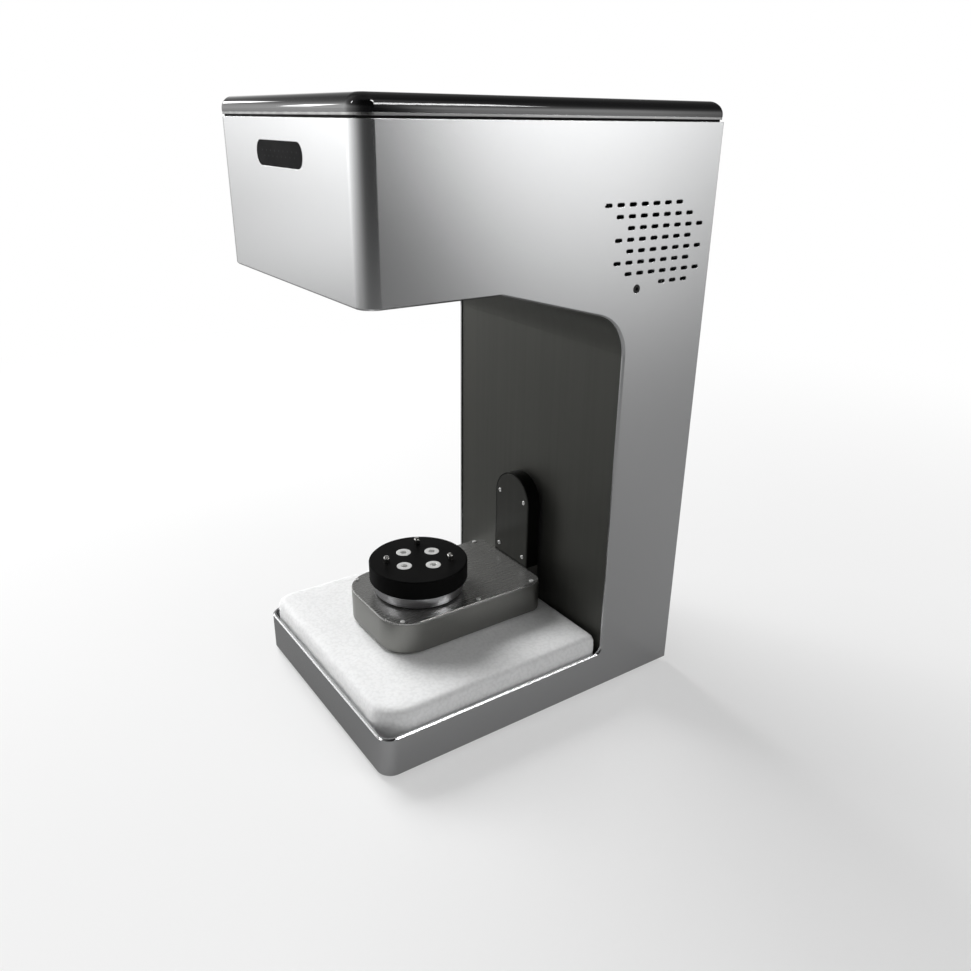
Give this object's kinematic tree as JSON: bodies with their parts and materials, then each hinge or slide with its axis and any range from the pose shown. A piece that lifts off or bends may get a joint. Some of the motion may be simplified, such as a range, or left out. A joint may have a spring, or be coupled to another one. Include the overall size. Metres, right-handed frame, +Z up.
{
  "type": "desktop 3d scanner",
  "caption": "C-shaped desktop 3d scanner with an overhead camera and projector head and a swing arm that tips a motor-driven turntable under it.",
  "frame": {"origin": "middle of the footprint, on the ground under the feet", "axes": "+Z up, the open front of the throat faces -Y, the vented cheeks face +X and -X"},
  "size_m": [0.21, 0.2748, 0.4437],
  "materials": {
    "satin_silver": "fine satin silver paint",
    "gloss_black": "polished gloss",
    "light_trim": "satin anodised",
    "seal_black": "dull",
    "smoked_window": "smoked gloss",
    "panel_grey": "brushed dark grey, satin",
    "arm_grey": "dark anodised, satin",
    "arm_cover_grey": "dark anodised, half gloss",
    "disc_black": "black anodised, dull",
    "bright_steel": "turned, bright",
    "screw_steel": "bright",
    "pin_steel": "ground",
    "dark_ring": "black anodised",
    "foam_white": "soft expanded foam",
    "base_zinc": "textured dark paint",
    "rear_paint": "textured dark paint",
    "frame_zinc": "zinc plate",
    "foot_rubber": "dull",
    "lens_black": "black anodised",
    "camera_case": "anodised",
    "dark_glass": "coated, polished",
    "board_green": "solder mask",
    "supply_case": "zinc plate",
    "black_plastic": "moulded",
    "rocker_black": "moulded",
    "socket_shell": "nickel plate",
    "brass_pin": "plated",
    "fan_black": "moulded",
    "bearing_steel": "ground",
    "gear_steel": "hobbed",
    "bracket_black": "black paint",
    "motor_black": "black paint, bare ends",
    "pulley_alloy": "turned",
    "belt_rubber": "moulded"
  },
  "bodies": {
    "casing": {"main_shell": "satin_silver", "throat_liner": "panel_grey", "rear_panel": "rear_paint", "rear_panel_screws": "screw_steel", "base_plate": "base_zinc", "rubber_feet": "foot_rubber", "tray_pad": "foam_white", "lid_seal": "seal_black", "lid_trim": "light_trim", "top_cover": "gloss_black", "lid_screws": "screw_steel", "side_screws": "screw_steel", "indicator_window": "smoked_window", "indicator_board": "board_green", "spine_frame": "frame_zinc", "head_bracket_right": "frame_zinc", "head_bracket_left": "frame_zinc", "frame_screws": "screw_steel", "optical_bench": "camera_case", "camera_mounts": "camera_case", "camera_right": "camera_case", "camera_left": "camera_case", "camera_lens_right": "lens_black", "camera_lens_left": "lens_black", "projector_body": "lens_black", "projector_lens": "lens_black", "optical_window": "dark_glass", "window_retainer": "bracket_black", "control_board": "board_green", "power_supply": "supply_case", "power_inlet": "black_plastic", "inlet_blades": "brass_pin", "data_socket": "socket_shell", "fan_frame": "fan_black", "bearing_housing": "pulley_alloy", "swing_bearings": "bearing_steel", "motor_bracket": "bracket_black", "swing_motor": "motor_black"},
    "swing_arm": {"arm_body": "arm_grey", "arm_hub_screws": "screw_steel", "riser_cover": "arm_cover_grey", "riser_cover_screws": "screw_steel", "platform_cover": "arm_cover_grey", "platform_cover_screws": "screw_steel", "bearing_carrier": "dark_ring", "turntable_bearings": "bearing_steel", "drive_belt": "belt_rubber", "turntable_motor": "motor_black", "swing_shaft": "bearing_steel", "swing_gear": "gear_steel"},
    "turntable": {"turntable_spindle": "bearing_steel", "turntable_collar": "bright_steel", "turntable_disc": "disc_black", "disc_screws": "screw_steel", "locating_pins": "pin_steel", "turntable_pulley": "pulley_alloy"},
    "swing_pinion": {"swing_pinion": "gear_steel"},
    "motor_pulley": {"motor_pulley": "pulley_alloy"},
    "fan_rotor": {"fan_rotor": "fan_black"},
    "power_rocker": {"power_rocker": "rocker_black"}
  },
  "joints": [
    {"name": "arm_swing", "type": "hinge", "parent": "casing", "child": "swing_arm", "pos_m": [0, 0.074, 0.136], "axis": [0, 1, 0], "range_deg": [-45, 45], "deforming": ["tray_pad"]},
    {"name": "turntable_spin", "type": "hinge", "parent": "swing_arm", "child": "turntable", "pos_m": [0, -0.0463, 0.0925], "axis": [0, 0, 1], "continuous": true},
    {"name": "swing_pinion_spin", "type": "hinge", "parent": "casing", "child": "swing_pinion", "pos_m": [0, 0.0925, 0.1735], "axis": [0, 1, 0], "range_deg": [-185, 185]},
    {"name": "motor_pulley_spin", "type": "hinge", "parent": "swing_arm", "child": "motor_pulley", "pos_m": [0, 0.0077, 0.0605], "axis": [0, 0, 1], "continuous": true},
    {"name": "fan_spin", "type": "hinge", "parent": "casing", "child": "fan_rotor", "pos_m": [0, 0.125, 0.385], "axis": [0, 1, 0], "continuous": true},
    {"name": "rocker_tilt", "type": "hinge", "parent": "casing", "child": "power_rocker", "pos_m": [-0.0465, 0.1315, 0.046], "axis": [1, 0, 0], "range_deg": [-12, 0]}
  ],
  "couplings": [
    {"joint": "swing_pinion_spin", "follows": "arm_swing", "ratio": -4},
    {"joint": "motor_pulley_spin", "follows": "turntable_spin", "ratio": 2.75}
  ]
}
